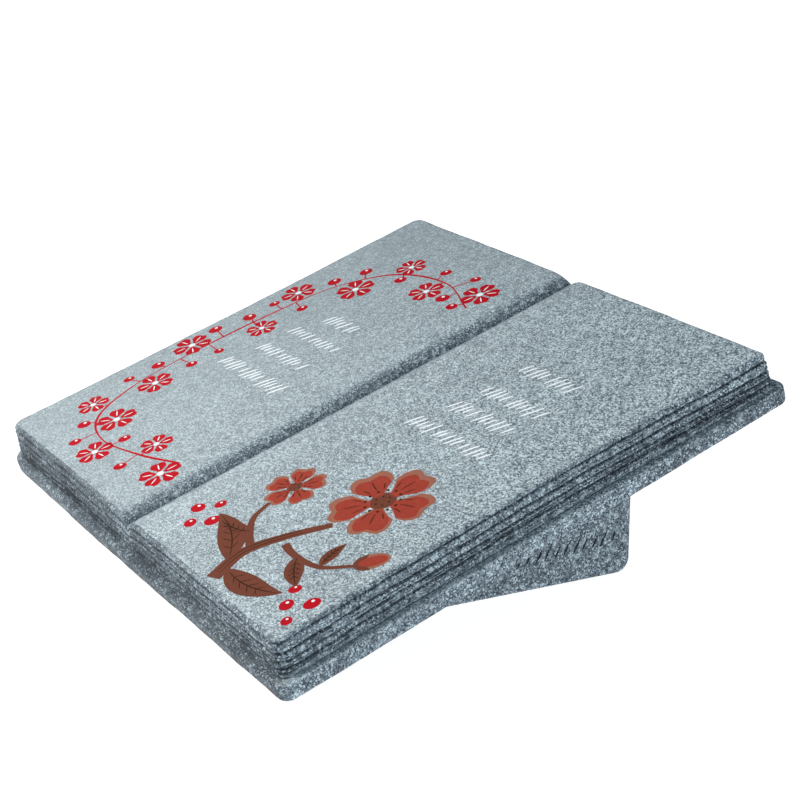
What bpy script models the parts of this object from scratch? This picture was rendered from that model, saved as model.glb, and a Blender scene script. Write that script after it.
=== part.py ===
"""Memorial plaque: an open book on its cover with a wedge foot below, cast in one piece in stone-effect resin.

The book is shaped flat, with the reader's right along +X, the top of the page along +Y and the cover's
underside at Z = 0. It is then tilted about its front edge, and the wedge foot joins it to the ground.
"""

import math

import bmesh
import bpy
import numpy as np
from mathutils import Matrix

COLLECTION_NAME = "memorial_book_plaque"

# Cover: a thin slab under the pages.
COVER_WIDTH = 0.200
COVER_DEPTH = 0.180
COVER_THICKNESS = 0.0052
COVER_CORNER_RADIUS = 0.006
COVER_TOP_RADIUS = 0.0016
COVER_BOTTOM_RADIUS = 0.0011

# Page block: the insets are those of its top edge from the cover's edges.
PAGES_THICKNESS = 0.0114
PAGES_SIDE_INSET = 0.0034
PAGES_FRONT_INSET = 0.0044
PAGES_BACK_INSET = 0.0034
PAGES_CORNER_RADIUS = 0.0045
PAGES_TOP_RADIUS = 0.0009
PAGES_SINK = 0.0004
SIDE_BOW = 0.0011
FRONT_FLARE = 0.0008

# Bundles of leaves: grooves cut round the block, at these shares of its thickness below the top.
GROOVE_SHARES = (0.13, 0.39, 0.61, 0.81)
GROOVE_HALF_WIDTH = 0.00038
GROOVE_DEPTH = 0.0006
FRONT_GROOVE_SHARE = 0.5
LEAF_STEP = 0.00022
BACK_DROP_SHARE = 0.11
BACK_DROP_START = 0.55

# Gutter: the valley between the two open pages.
GUTTER_HALF_WIDTH = 0.009
GUTTER_DEPTH = 0.0028
GUTTER_POWER = 2.35
CREASE_HALF_WIDTH = 0.0012
CREASE_DEPTH = 0.0006
GUTTER_STATIONS = (0.0, 0.07, 0.16, 0.3, 0.5, 0.73, 1.0)

# Foot: a wedge in ground coordinates, measured back from the cover's front edge.
TILT = math.radians(21.0)
FOOT_SIDE_INSET = 0.0350
FOOT_FRONT = 0.012
FOOT_BACK = 0.1415
FOOT_BACK_LEAN = math.radians(4.5)
FOOT_CORNER_RADIUS = 0.0045
FOOT_EDGE_RADIUS = 0.0010

# A row of plain slanted cuts on the foot's right side, in the foot's own ground coordinates.
CUT_COUNT = 11
CUT_FIRST = (0.0985, 0.0106)
CUT_LAST = (0.1335, 0.0130)
CUT_LENGTHS = (0.0058, 0.0040, 0.0048)
CUT_WIDTH = 0.0007
CUT_DEPTH = 0.0004
CUT_SLANT = math.radians(24.0)

# Smoothness of the round parts.
CORNER_STEPS = 6
SIDE_STEPS = 12
EDGE_STEPS = 3
FOOT_CORNER_STEPS = 6
FOOT_BEVEL_SEGMENTS = 2

STONE_COLOUR = (0.27, 0.32, 0.35, 1.0)
STONE_ROUGHNESS = 0.62


def clear_scene():
    for obj in list(bpy.data.objects):
        bpy.data.objects.remove(obj, do_unlink=True)


def new_collection(name):
    collection = bpy.data.collections.new(name)
    bpy.context.scene.collection.children.link(collection)
    return collection


def stone_material():
    material = bpy.data.materials.new("stone_effect_resin")
    material.use_nodes = True
    shader = material.node_tree.nodes["Principled BSDF"]
    shader.inputs["Base Color"].default_value = STONE_COLOUR
    shader.inputs["Roughness"].default_value = STONE_ROUGHNESS
    shader.inputs["Metallic"].default_value = 0.0
    return material


def corner_arc(centre_x, centre_y, radius, start):
    """Points of a quarter circle, counterclockwise from the angle start, without its two ends."""
    angles = start + np.linspace(0.0, math.pi / 2, CORNER_STEPS + 1)[1:-1]
    return np.column_stack([centre_x + radius * np.cos(angles), centre_y + radius * np.sin(angles)])


def outline(side, front, back, radius, bow=0.0):
    """A rounded rectangle inset from the cover's edges, counterclockwise, the sides bowed inwards by bow.

    Every outline has the same number of points, and those in the gutter have the same X in all of them.
    """
    half = COVER_WIDTH / 2 - side
    low = front
    high = COVER_DEPTH - back
    stations = GUTTER_HALF_WIDTH * np.array(GUTTER_STATIONS)
    across = np.concatenate([[radius - half], -stations[:0:-1], stations, [half - radius]])
    along = np.linspace(low + radius, high - radius, SIDE_STEPS + 1)
    points = np.vstack(
        [
            np.column_stack([across, np.full(len(across), low)]),
            corner_arc(half - radius, low + radius, radius, -math.pi / 2),
            np.column_stack([np.full(len(along), half), along]),
            corner_arc(half - radius, high - radius, radius, 0.0),
            np.column_stack([across[::-1], np.full(len(across), high)]),
            corner_arc(radius - half, high - radius, radius, math.pi / 2),
            np.column_stack([np.full(len(along), -half), along[::-1]]),
            corner_arc(radius - half, low + radius, radius, math.pi),
        ]
    )
    share = (points[:, 1] - low) / (high - low)
    points[:, 0] *= 1.0 - bow / half * np.sin(math.pi * share)
    return points


def gutter_depth(x):
    """How far the page lies below its flat part: a power curve each side of the fold, and a small crease."""
    reach = np.clip(1.0 - np.abs(x) / GUTTER_HALF_WIDTH, 0.0, 1.0)
    crease = np.clip(1.0 - np.abs(x) / CREASE_HALF_WIDTH, 0.0, 1.0)
    return GUTTER_DEPTH * reach**GUTTER_POWER + CREASE_DEPTH * crease


def page_height(points, depth):
    """Height of a page ring: it follows the gutter, and its middle leaves sink towards the back.

    The block's foot lies a little below the ledge, so that a dark crease runs round it.
    """
    share = depth / PAGES_THICKNESS
    back = np.clip(points[:, 1] / COVER_DEPTH, 0.0, 1.0)
    ramp = np.clip((back - BACK_DROP_START) / (1.0 - BACK_DROP_START), 0.0, 1.0)
    sunk = share + BACK_DROP_SHARE * ramp * (1.0 - (2.0 * share - 1.0) ** 4)
    base = COVER_THICKNESS - PAGES_SINK
    top = COVER_THICKNESS + PAGES_THICKNESS - gutter_depth(points[:, 0])
    return base + (top - base) * (1.0 - sunk)


def page_ring(depth, out, groove=0.0):
    """One ring of the page block, depth below the top and out past the top edge's outline."""
    front_out = out + FRONT_FLARE * depth / PAGES_THICKNESS - groove * FRONT_GROOVE_SHARE
    side_out = out - groove
    points = outline(
        PAGES_SIDE_INSET - side_out,
        PAGES_FRONT_INSET - front_out,
        PAGES_BACK_INSET - side_out,
        PAGES_CORNER_RADIUS,
        SIDE_BOW,
    )
    return np.column_stack([points, page_height(points, depth)])


def page_rings():
    """Rings from the foot of the page block up to the flat of the pages."""
    rings = [page_ring(PAGES_THICKNESS, len(GROOVE_SHARES) * LEAF_STEP)]
    for number in reversed(range(len(GROOVE_SHARES))):
        depth = GROOVE_SHARES[number] * PAGES_THICKNESS
        rings.append(page_ring(depth + GROOVE_HALF_WIDTH, (number + 1) * LEAF_STEP))
        rings.append(page_ring(depth, number * LEAF_STEP, GROOVE_DEPTH))
        rings.append(page_ring(depth - GROOVE_HALF_WIDTH, number * LEAF_STEP))
    for angle in np.linspace(0.0, math.pi / 2, EDGE_STEPS + 1):
        sink = PAGES_TOP_RADIUS * (1.0 - math.sin(angle))
        rings.append(page_ring(sink, -PAGES_TOP_RADIUS * (1.0 - math.cos(angle))))
    return rings


def cover_ring(inset, height):
    radius = COVER_CORNER_RADIUS - inset
    points = outline(inset, inset, inset, radius)
    return np.column_stack([points, np.full(len(points), height)])


def cover_rings():
    """Rings from the cover's underside, round its edge and onto the ledge beside the pages."""
    rings = []
    for angle in np.linspace(0.0, math.pi / 2, EDGE_STEPS + 1):
        inset = COVER_BOTTOM_RADIUS * (1.0 - math.sin(angle))
        rings.append(cover_ring(inset, COVER_BOTTOM_RADIUS * (1.0 - math.cos(angle))))
    for angle in np.linspace(0.0, math.pi / 2, EDGE_STEPS + 1):
        inset = COVER_TOP_RADIUS * (1.0 - math.cos(angle))
        rings.append(cover_ring(inset, COVER_THICKNESS - COVER_TOP_RADIUS * (1.0 - math.sin(angle))))
    return rings


def cap_faces(base):
    """Faces of the pages inside the last ring: one flat face a page, and strips across the gutter.

    An outline is a front run, a side, a back run and a side. Both runs hold the gutter's stations.
    """
    run = 2 * len(GUTTER_STATIONS) + 1
    side = 2 * (CORNER_STEPS - 1) + SIDE_STEPS + 1
    back_first = run + side
    back_last = back_first + run - 1
    faces = []
    for i in range(1, run - 2):
        faces.append((base + i, base + i + 1, base + back_last - i - 1, base + back_last - i))
    right_page = range(run - 2, back_first + 2)
    left_page = [*range(back_last - 1, 2 * (run + side)), 0, 1]
    faces.append([base + i for i in right_page])
    faces.append([base + i for i in left_page])
    return faces


def book_rings():
    return np.array(cover_rings() + page_rings())


def book_mesh(rings):
    """A closed loft through the rings, with the cover's underside as its first face."""
    count = rings.shape[1]
    faces = [tuple(range(count))[::-1]]
    for level in range(len(rings) - 1):
        lower = level * count
        upper = lower + count
        for i in range(count):
            following = (i + 1) % count
            faces.append((lower + i, lower + following, upper + following, upper + i))
    faces += cap_faces((len(rings) - 1) * count)
    mesh = bpy.data.meshes.new("book_plaque")
    mesh.from_pydata(rings.reshape(-1, 3).tolist(), [], faces)
    mesh.validate()
    return mesh


def ground_coordinates(y, z):
    """Distance back along the ground and height of a point of the book, before it is set down."""
    along = y * math.cos(TILT) - z * math.sin(TILT)
    height = y * math.sin(TILT) + z * math.cos(TILT)
    return along, height


def foot_profile(set_down):
    """The foot's outline seen from the side, clockwise from its lower front corner, as (along, height).

    Its upper edge lies in the middle of the cover's thickness, which is set_down lower than before.
    """

    def inside_cover(along):
        return along * math.tan(TILT) + COVER_THICKNESS / 2 / math.cos(TILT) - set_down

    turn = math.pi / 2 + FOOT_BACK_LEAN
    half = FOOT_CORNER_RADIUS * math.tan(turn / 2)
    centre = (FOOT_BACK - half, FOOT_CORNER_RADIUS)
    arc = []
    for step in range(FOOT_CORNER_STEPS + 1):
        angle = -math.pi / 2 + turn * step / FOOT_CORNER_STEPS
        along = centre[0] + FOOT_CORNER_RADIUS * math.cos(angle)
        height = centre[1] + FOOT_CORNER_RADIUS * math.sin(angle)
        arc.append((along, height))
    lean = math.tan(FOOT_BACK_LEAN)
    top_back = (FOOT_BACK - lean * inside_cover(FOOT_BACK)) / (1.0 + lean * math.tan(TILT))
    return [
        (FOOT_FRONT, 0.0),
        *arc,
        (top_back, inside_cover(top_back)),
        (FOOT_FRONT, inside_cover(FOOT_FRONT)),
    ]


def foot_object(set_down, helpers):
    """The wedge foot: its side outline carried across the width between the side insets, edges rounded."""
    half = COVER_WIDTH / 2 - FOOT_SIDE_INSET
    shape = bmesh.new()
    loop = [shape.verts.new((-half, along, height)) for along, height in foot_profile(set_down)]
    face = shape.faces.new(loop)
    swept = bmesh.ops.extrude_face_region(shape, geom=[face])["geom"]
    moved = [item for item in swept if isinstance(item, bmesh.types.BMVert)]
    bmesh.ops.translate(shape, verts=moved, vec=(2 * half, 0.0, 0.0))
    bmesh.ops.recalc_face_normals(shape, faces=shape.faces)
    mesh = bpy.data.meshes.new("foot_wedge")
    shape.to_mesh(mesh)
    shape.free()
    foot = bpy.data.objects.new("foot_wedge", mesh)
    helpers.objects.link(foot)
    foot.hide_render = True
    foot.display_type = "WIRE"
    rounding = foot.modifiers.new("edges", "BEVEL")
    rounding.width = FOOT_EDGE_RADIUS
    rounding.segments = FOOT_BEVEL_SEGMENTS
    rounding.limit_method = "ANGLE"
    rounding.angle_limit = math.radians(50.0)
    return foot


def foot_cuts(helpers):
    """Cutters for the row of slanted cuts: one small box a cut, sunk into the foot's right side."""
    side = COVER_WIDTH / 2 - FOOT_SIDE_INSET
    shape = bmesh.new()
    for number in range(CUT_COUNT):
        share = number / (CUT_COUNT - 1)
        length = CUT_LENGTHS[number % len(CUT_LENGTHS)]
        along = CUT_FIRST[0] + share * (CUT_LAST[0] - CUT_FIRST[0])
        height = CUT_FIRST[1] + share * (CUT_LAST[1] - CUT_FIRST[1])
        size = Matrix.Diagonal((2 * CUT_DEPTH, CUT_WIDTH, length, 1.0))
        turn = Matrix.Rotation(-CUT_SLANT, 4, "X")
        bmesh.ops.create_cube(shape, size=1.0, matrix=Matrix.Translation((side, along, height)) @ turn @ size)
    mesh = bpy.data.meshes.new("foot_cuts")
    shape.to_mesh(mesh)
    shape.free()
    cuts = bpy.data.objects.new("foot_cuts", mesh)
    helpers.objects.link(cuts)
    cuts.hide_render = True
    cuts.display_type = "WIRE"
    return cuts


def add_boolean(obj, name, operation, other):
    modifier = obj.modifiers.new(name, "BOOLEAN")
    modifier.operation = operation
    modifier.solver = "EXACT"
    modifier.object = other


def build():
    clear_scene()
    parts = new_collection(COLLECTION_NAME)
    helpers = new_collection("joined_shapes")
    rings = book_rings()
    along, height = ground_coordinates(rings[..., 1], rings[..., 2])
    set_down = height.min()
    centre = (along.min() + along.max()) / 2
    plaque = bpy.data.objects.new("book_plaque", book_mesh(rings))
    parts.objects.link(plaque)
    plaque.data.materials.append(stone_material())
    plaque.rotation_euler = (TILT, 0.0, 0.0)
    plaque.location = (0.0, -centre, -set_down)
    foot = foot_object(set_down, helpers)
    cuts = foot_cuts(helpers)
    for shape in (foot, cuts):
        shape.location = (0.0, -centre, 0.0)
    add_boolean(plaque, "foot", "UNION", foot)
    add_boolean(plaque, "foot_cuts", "DIFFERENCE", cuts)


build()
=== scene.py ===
"""Scene for the memorial book plaque: the casting in full detail, its printed pages, floor, light, camera.

Shapes are worked out in millimetres in the book's own frame: X to the reader's right, Y from the cover's
front edge to its back edge, Z up from the cover's underside. standing() tilts them and gives metres.
"""

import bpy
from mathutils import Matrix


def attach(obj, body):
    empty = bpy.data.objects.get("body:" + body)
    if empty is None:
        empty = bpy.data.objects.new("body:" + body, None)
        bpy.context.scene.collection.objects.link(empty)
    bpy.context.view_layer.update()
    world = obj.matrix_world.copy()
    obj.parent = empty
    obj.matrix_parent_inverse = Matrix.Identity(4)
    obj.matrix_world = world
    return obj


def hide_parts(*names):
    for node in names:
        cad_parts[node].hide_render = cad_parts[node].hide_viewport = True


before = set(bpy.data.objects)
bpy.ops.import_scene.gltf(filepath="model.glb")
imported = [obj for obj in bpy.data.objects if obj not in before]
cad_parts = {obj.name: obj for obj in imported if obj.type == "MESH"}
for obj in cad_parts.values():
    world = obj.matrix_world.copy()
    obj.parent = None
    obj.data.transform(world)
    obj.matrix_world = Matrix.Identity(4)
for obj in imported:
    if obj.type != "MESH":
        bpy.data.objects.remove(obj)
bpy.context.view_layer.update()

import math

import bpy
import numpy as np
from mathutils import Vector

MM = 0.001

# The plaque's sizes, as in its CAD model.
COVER_WIDTH = 200.0
COVER_DEPTH = 180.0
COVER_THICKNESS = 5.2
PAGES_THICKNESS = 11.4
PAGES_SIDE_INSET = 3.4
PAGES_FRONT_INSET = 4.4
PAGES_BACK_INSET = 3.4
PAGES_SINK = 0.4
SIDE_BOW = 1.1
FRONT_FLARE = 0.8
GUTTER_HALF_WIDTH = 9.0
GUTTER_DEPTH = 2.8
GUTTER_POWER = 2.35
CREASE_HALF_WIDTH = 1.2
CREASE_DEPTH = 0.6
TILT = math.radians(21.0)
SET_BACK = 83.06
SET_DOWN = 0.335
FOOT_HALF_WIDTH = 65.0
FOOT_FRONT = 12.0
FOOT_BACK = 141.5
FOOT_BACK_LEAN = math.radians(4.5)
FOOT_CORNER_RADIUS = 4.5
FOOT_SIDE_RADIUS = 1.1
FOOT_FRONT_RADIUS = 1.2

# Roundings. The corners are front left, front right, back right and back left.
COVER_CORNERS = (8.2, 3.8, 4.8, 6.5)
PAGES_CORNERS = (4.2, 4.0, 2.4, 4.0)
COVER_TOP_RADIUS = 1.0
COVER_BOTTOM_RADIUS = 1.15
SIDE_CRISPNESS = 0.45
PAGES_TOP_RADIUS = 0.9

# The mesh: steps on half a corner, along a page and a side, the gutter's stations, a rounding's angles.
CORNER_STEPS = 5
PAGE_STEPS = 62
SIDE_STEPS = 132
GUTTER_STATIONS = np.array([0.0, 0.35, 0.8, 1.3, 1.9, 2.6, 3.4, 4.3, 5.3, 6.4, 7.6, 9.0])
EDGE_STEPS = 5
QUARTER = np.linspace(0.0, math.pi / 2, EDGE_STEPS + 1)

# Carved lines round the page block: depth below the top at the front, middle and back of the sides, how
# much further the line sinks beside the gutter on the left and the right page, the cut's depth, and how far
# the leaves below it stand out. A shallow line comes and goes.
CARVED_LINES = (
    (1.40, 1.20, 2.60, 0.9, 0.5, 0.80, 0.20),
    (2.90, 2.75, 4.10, 0.8, 0.5, 0.16, 0.02),
    (4.35, 4.20, 5.60, 0.9, 0.6, 0.95, 0.22),
    (5.55, 5.45, 6.75, 0.7, 0.5, 0.26, 0.04),
    (6.80, 6.60, 7.80, 0.6, 0.4, 0.66, 0.16),
    (7.85, 7.55, 8.75, 0.5, 0.4, 0.34, 0.05),
    (8.80, 8.45, 9.60, 0.4, 0.3, 0.84, 0.16),
    (9.95, 9.60, 10.45, 0.2, 0.2, 0.24, 0.03),
)
DEEP_CUT = 0.5
DEEP_HALF_WIDTH = 0.44
SHALLOW_HALF_WIDTH = 0.22
BUNDLE_BULGE = 0.28
FULL_BUNDLE = 1.6
FINE_LINE_DEPTH = 0.12
FINE_RING_STEP = 0.24

# How far the block lies inside its outline, and by what share a cut is shallower on the front, deeper round
# a corner and shallower on the front of a side.
BLOCK_INSET = 0.36
FRONT_LINE_SHARE = 0.3
CORNER_CUT_GAIN = 0.5
NEAR_FRONT_EASE = 0.3

# Tones: 0 is plain stone. These say how far below 0, and so how dark, each place is: painted shade on the
# block's front, sides and back, on the cover's front and back, on the foot and in the gutter. CUT_SHADE is
# how dark the foot's row of cuts is.
FRONT_PAINTED_SHADE = 1.55
SIDE_PAINTED_SHADE = 0.4
BACK_PAINTED_SHADE = 0.45
COVER_FRONT_PAINTED_SHADE = 0.66
COVER_RIGHT_GAIN = 0.24
COVER_BACK_PAINTED_SHADE = 0.6
FOOT_PAINTED_SHADE = 0.37
GUTTER_PAINTED_SHADE = 0.27
CUT_SHADE = 2.0

# Tones above 0, which take away painted shade on a bundle's crown, at the pages' top edge and on the
# cover's edge and ledge. The last is painted light: how pale the ledge beside the pages is made, as a share
# of the pages' own paleness.
CROWN_TONE = 0.35
PAGE_EDGE_TONE = 0.3
COVER_EDGE_TONE = 0.1
LEDGE_PAINTED_LIGHT = 0.85

# The row of cuts in the foot's right side, as (along, height) in the foot's own plane.
CUT_COUNT = 11
CUT_FIRST = (98.5, 10.6)
CUT_LAST = (133.5, 13.0)
CUT_LENGTHS = (5.8, 4.0, 4.8)
CUT_HALF_WIDTH = 0.42
CUT_DEPTH = 0.5
CUT_BOW = 0.25
CUT_SLANT = math.radians(24.0)

# Edges that bend by more than this stay sharp. No rounding's radius falls below the least one.
SHARP_ANGLE = math.radians(38.0)
LEAST_RADIUS = 0.05


# ---- curves and waves
def smooth(low, high, value):
    """0 below low, 1 above high, and an S-curve between them."""
    share = np.clip((value - low) / (high - low), 0.0, 1.0)
    return share * share * (3.0 - 2.0 * share)


def waves(share, seed, counts, sizes):
    """Sum of sines with whole wave counts round the block, so that the two ends of share 0 to 1 meet."""
    phases = np.random.default_rng(seed).uniform(0.0, 2.0 * math.pi, len(counts))
    total = np.zeros_like(share)
    for count, size, phase in zip(counts, sizes, phases):
        total += size * np.sin(2.0 * math.pi * count * share + phase)
    return total


def standing(points):
    """Book millimetres to the frame's metres: turned by the tilt about X, then set back and down."""
    x, y, z = np.moveaxis(np.asarray(points, float), -1, 0)
    along = y * math.cos(TILT) - z * math.sin(TILT) - SET_BACK
    height = y * math.sin(TILT) + z * math.cos(TILT) - SET_DOWN
    return np.stack([x, along, height], axis=-1) * MM


def on_ground(points):
    """(across, back along the ground, height) in millimetres to the frame's metres."""
    return (np.asarray(points, float) - (0.0, SET_BACK, 0.0)) * MM


# ---- meshes
def mesh_piece(name, points, faces):
    """A smooth-shaded mesh object from points in metres and faces, sharp at edges over the sharp angle."""
    mesh = bpy.data.meshes.new(name)
    mesh.from_pydata(points.tolist(), [], faces)
    mesh.validate()
    mesh.polygons.foreach_set("use_smooth", np.ones(len(mesh.polygons), bool))
    mesh.set_sharp_from_angle(angle=SHARP_ANGLE)
    mesh.update()
    piece = bpy.data.objects.new(name, mesh)
    bpy.context.scene.collection.objects.link(piece)
    return piece


def band_faces(levels, count):
    """Quads between each closed ring of count points and the next, for rings stored one after another."""
    start = (np.arange(levels - 1) * count)[:, None]
    here = np.arange(count)[None, :]
    ahead = (here + 1) % count
    quads = [start + here, start + ahead, start + count + ahead, start + count + here]
    return np.stack(quads, axis=-1).reshape(-1, 4)


def grid_faces(index):
    """Quads over a grid of point numbers, counterclockwise when rows run along +Y and columns along +X."""
    quads = [index[:-1, :-1], index[:-1, 1:], index[1:, 1:], index[1:, :-1]]
    return np.stack(quads, axis=-1).reshape(-1, 4)


# ---- the book's outlines
ACROSS = 2 * CORNER_STEPS + 2 * PAGE_STEPS + 2 * (len(GUTTER_STATIONS) - 1)
ALONG = 2 * CORNER_STEPS + SIDE_STEPS
ROUND = 2 * (ACROSS + ALONG)


def outline(side, front, back, corners, bow=0.0):
    """A rounded rectangle inset from the cover's edges, counterclockwise from the front left corner's middle.

    Each of its four runs is half an arc, a straight and half an arc. The front and back hold the gutter's
    stations, and the sides are bowed inwards by a half sine.
    """
    half = COVER_WIDTH / 2 - side
    high = COVER_DEPTH - back
    centres = [
        (corners[0] - half, front + corners[0]),
        (half - corners[1], front + corners[1]),
        (half - corners[2], high - corners[2]),
        (corners[3] - half, high - corners[3]),
    ]
    turns = np.linspace(0.0, math.pi / 4, CORNER_STEPS + 1)

    def arc(corner, angles):
        arms = np.column_stack([np.cos(angles), np.sin(angles)])
        return centres[corner] + corners[corner] * arms

    def straight(start, end, edge):
        left = np.linspace(start, -GUTTER_HALF_WIDTH, PAGE_STEPS + 1)[:-1]
        right = np.linspace(GUTTER_HALF_WIDTH, end, PAGE_STEPS + 1)[1:]
        x = np.concatenate([left, -GUTTER_STATIONS[:0:-1], GUTTER_STATIONS, right])
        return np.column_stack([x, np.full(len(x), edge)])

    def upright(edge, start, end):
        y = np.linspace(start, end, SIDE_STEPS + 1)
        return np.column_stack([np.full(len(y), edge), y])

    middle = [
        straight(centres[0][0], centres[1][0], front),
        upright(half, centres[1][1], centres[2][1]),
        straight(centres[3][0], centres[2][0], high)[::-1],
        upright(-half, centres[0][1], centres[3][1])[::-1],
    ]
    runs = []
    for number in range(4):
        first = -0.75 * math.pi + number * math.pi / 2
        following = (number + 1) % 4
        runs.append(arc(number, first + turns[:-1]))
        runs.append(middle[number])
        runs.append(arc(following, first + math.pi / 4 + turns[1:-1]))
    points = np.vstack(runs)
    share = (points[:, 1] - front) / (high - front)
    points[:, 0] *= 1.0 - bow / half * np.sin(math.pi * share)
    return points


def outward(points):
    """Unit normals of a closed counterclockwise outline, from the chord between each point's neighbours."""
    chord = np.roll(points, -1, axis=0) - np.roll(points, 1, axis=0)
    normal = np.column_stack([chord[:, 1], -chord[:, 0]])
    return normal / np.linalg.norm(normal, axis=1)[:, None]


def round_share(points):
    """How far along a closed outline each point lies, from 0 to 1."""
    step = np.linalg.norm(np.roll(points, -1, axis=0) - points, axis=1)
    return np.concatenate([[0.0], np.cumsum(step)[:-1]]) / step.sum()


def cap_grid(ring, first):
    """Fills the last ring with a grid: the two pairs of facing runs are blended, and the corners taken off.

    Returns the new inner points and the grid's faces. first is the number of the ring's first point.
    """
    number = np.arange(ROUND)
    front = number[: ACROSS + 1]
    right = number[ACROSS : ACROSS + ALONG + 1]
    back = number[ACROSS + ALONG : 2 * ACROSS + ALONG + 1][::-1]
    left = np.append(number[2 * ACROSS + ALONG :], 0)[::-1]
    u = np.linspace(0.0, 1.0, ACROSS + 1)[None, :, None]
    v = np.linspace(0.0, 1.0, ALONG + 1)[:, None, None]
    blend = (1 - v) * ring[front][None] + v * ring[back][None] + (1 - u) * ring[left][:, None]
    blend = blend + u * ring[right][:, None]
    blend -= (1 - u) * (1 - v) * ring[0] + u * (1 - v) * ring[front[-1]]
    blend -= (1 - u) * v * ring[back[0]] + u * v * ring[back[-1]]
    index = np.empty((ALONG + 1, ACROSS + 1), int)
    index[1:-1, 1:-1] = ROUND + np.arange((ALONG - 1) * (ACROSS - 1)).reshape(ALONG - 1, ACROSS - 1)
    index[0], index[-1], index[:, 0], index[:, -1] = front, back, left, right
    return blend[1:-1, 1:-1].reshape(-1, 2), grid_faces(index) + first


# ---- the casting
def gutter_depth(x):
    """How far the page lies below its flat part: a power curve each side of the fold, and a small crease."""
    reach = np.clip(1.0 - np.abs(x) / GUTTER_HALF_WIDTH, 0.0, 1.0)
    crease = np.clip(1.0 - np.abs(x) / CREASE_HALF_WIDTH, 0.0, 1.0)
    return GUTTER_DEPTH * reach**GUTTER_POWER + CREASE_DEPTH * crease


def page_top(x):
    """Height of the open pages at x."""
    return COVER_THICKNESS + PAGES_THICKNESS - gutter_depth(x)


def line_depths(points, share):
    """Depth of each carved line below the page's top at each outline point.

    Along the sides it runs from the front's depth to the middle's and sinks to the back's in an S-curve.
    By the gutter it sags by a bell curve, and everywhere it wavers by a few tenths of a millimetre.
    """
    x = points[:, 0]
    t = points[:, 1] / COVER_DEPTH
    depths = []
    for number, (front, middle, back, left_sag, right_sag, *_) in enumerate(CARVED_LINES):
        depth = front + (middle - front) * smooth(0.0, 0.45, t) + (back - middle) * smooth(0.55, 1.02, t)
        sag = np.where(x < 0, left_sag, right_sag) * np.exp(-((x / 34.0) ** 2))
        depths.append(depth + sag + waves(share, 11 + number, (13, 29, 61), (0.10, 0.07, 0.04)))
    return np.array(depths)


def block_painted_shade(base, normal, share):
    """A function that gives, for a depth below the top, how much painted shade darkens the stone round the
    page block.

    The front's painted shade lies in patches, more so low down and to the left, less at its very end. The
    sides' painted shade grows low down and towards the back, and fades again just above the cover.
    """
    facing_front = np.clip(-normal[:, 1], 0.0, 1.0)
    facing_side = normal[:, 0] ** 2
    to_left = smooth(25.0, -30.0, base[:, 0])
    to_back = smooth(0.5, 0.95, base[:, 1] / COVER_DEPTH)
    patchy = 0.7 + 0.3 * to_left + waves(share, 5, (9, 23, 41), (0.13, 0.15, 0.13))
    left_end = 0.3 + 0.7 * smooth(-98.0, -86.0, base[:, 0])
    front_painted_shade = FRONT_PAINTED_SHADE * facing_front * patchy * left_end

    def shade(depth):
        low = smooth(5.0, 10.0, depth)
        lowest = smooth(PAGES_THICKNESS - 1.8, PAGES_THICKNESS - 0.3, depth)
        front = front_painted_shade * (0.5 + 0.35 * low + 0.45 * to_left * smooth(8.4, 10.6, depth))
        side = SIDE_PAINTED_SHADE * low * (1.0 - 1.9 * lowest) + BACK_PAINTED_SHADE * to_back * (0.4 + 0.6 * low)
        return front + facing_side * side

    return shade


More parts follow.
